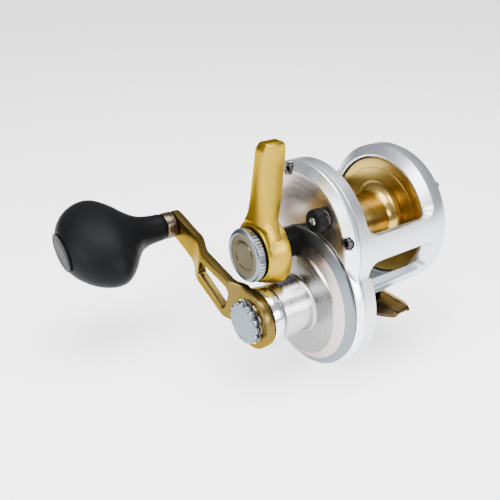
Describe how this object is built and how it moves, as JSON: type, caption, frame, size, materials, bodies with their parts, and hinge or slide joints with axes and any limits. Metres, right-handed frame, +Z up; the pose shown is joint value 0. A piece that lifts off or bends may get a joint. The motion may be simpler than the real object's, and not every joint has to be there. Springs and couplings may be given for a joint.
{
  "type": "trolling reel",
  "caption": "Lever-drag trolling reel with a ringed metal frame, gold spool, offset gear housing, crank with a moulded knob, and a cupped rod foot.",
  "frame": {"origin": "middle of the flat underside of the rod foot, where it rests on the rod's reel seat", "axes": "+X from the plain left side to the crank side, along the spool axis; +Y along the rod towards its tip; +Z up, away from the rod"},
  "size_m": [0.1619, 0.1326, 0.1138],
  "materials": {
    "silver_anodised": "satin clear anodised",
    "plate_polished": "polished and anodised",
    "cover_turned": "fine turned",
    "spool_gold": "polished gold anodised",
    "lever_gold": "satin gold anodised",
    "arm_gold": "satin dark gold anodised",
    "chromed": "polished",
    "steel": "ground",
    "dark_steel": "dark polished",
    "brass": "machined",
    "carbon": "woven carbon",
    "black_plastic": "moulded",
    "grip_rubber": "matte moulded",
    "spring_steel": "wire"
  },
  "bodies": {
    "frame": {"frame": "silver_anodised", "left_side_plate": "silver_anodised", "right_side_plate": "plate_polished", "gear_cover": "cover_turned", "rod_foot": "dark_steel", "foot_riser": "dark_steel", "foot_screw_rear": "dark_steel", "foot_screw_front": "dark_steel", "left_plate_screw_1": "steel", "left_plate_screw_2": "steel", "left_plate_screw_3": "steel", "side_plate_screw_1": "dark_steel", "side_plate_screw_2": "dark_steel", "side_plate_screw_3": "dark_steel", "pinion_bearing": "steel", "crank_bearing": "steel", "one_way_bearing": "steel", "pawl_pin": "steel", "drag_cam": "steel", "pawl_spring": "spring_steel", "button_spring": "spring_steel", "click_spring": "spring_steel"},
    "shaft": {"spool_shaft": "steel", "preset_washer": "black_plastic"},
    "spool": {"spool": "spool_gold", "spool_bearing_left": "steel", "spool_bearing_right": "steel", "drag_washer": "carbon", "click_wheel": "brass"},
    "pinion": {"pinion": "brass", "pinion_sleeve": "brass", "drag_rotor": "steel"},
    "crank": {"crank_shaft": "steel", "main_gear": "brass", "ratchet_wheel": "steel", "crank_collar": "chromed", "crank_arm": "arm_gold", "nut_retainer": "steel", "crank_nut": "silver_anodised", "retainer_screw": "dark_steel", "knob_spindle": "steel"},
    "knob": {"knob_grip": "grip_rubber", "knob_ferrule": "dark_steel", "knob_end_cap": "black_plastic"},
    "lever": {"drag_lever": "lever_gold"},
    "preset": {"preset_knob": "silver_anodised"},
    "strike": {"strike_button": "black_plastic", "strike_button_screw": "steel"},
    "pawl": {"anti_reverse_pawl": "steel"},
    "clicker": {"click_button": "black_plastic", "click_tongue": "steel", "click_tongue_post": "steel"}
  },
  "joints": [
    {"name": "handle_spin", "type": "hinge", "parent": "frame", "child": "crank", "pos_m": [0.012, 0.00777, 0.01222], "axis": [-1, 0, 0], "continuous": true},
    {"name": "pinion_spin", "type": "hinge", "parent": "frame", "child": "pinion", "pos_m": [0.012, 0, 0.0412], "axis": [-1, 0, 0], "continuous": true},
    {"name": "spool_spin", "type": "hinge", "parent": "shaft", "child": "spool", "pos_m": [0.012, 0, 0.0412], "axis": [-1, 0, 0], "continuous": true},
    {"name": "knob_spin", "type": "hinge", "parent": "crank", "child": "knob", "pos_m": [0.098, -0.06396, 0.03415], "axis": [-1, 0, 0], "continuous": true},
    {"name": "lever_swing", "type": "hinge", "parent": "frame", "child": "lever", "pos_m": [0.066, 0, 0.0412], "axis": [-1, 0, 0], "range_deg": [-40, 45]},
    {"name": "shaft_slide", "type": "slide", "parent": "frame", "child": "shaft", "axis": [1, 0, 0], "range_m": [-0.00025, 0.00025]},
    {"name": "preset_turn", "type": "hinge", "parent": "shaft", "child": "preset", "pos_m": [0.074, 0, 0.0412], "axis": [-1, 0, 0], "range_deg": [-150, 150]},
    {"name": "strike_press", "type": "slide", "parent": "frame", "child": "strike", "axis": [-1, 0, 0], "range_m": [0, 0.001], "stiffness_N_per_m": 900},
    {"name": "pawl_swing", "type": "hinge", "parent": "frame", "child": "pawl", "pos_m": [0.0462, -0.00739, 0.02097], "axis": [1, 0, 0], "range_deg": [-16, 0], "stiffness_Nm_per_rad": 0.01},
    {"name": "click_slide", "type": "slide", "parent": "frame", "child": "clicker", "axis": [0, 0, -1], "range_m": [0, 0.002]}
  ],
  "couplings": [
    {"joint": "pinion_spin", "follows": "handle_spin", "ratio": -5.6667},
    {"joint": "spool_spin", "follows": "handle_spin", "ratio": -5.6667},
    {"joint": "shaft_slide", "follows": "lever_swing", "m_per_rad": 0.0003}
  ]
}
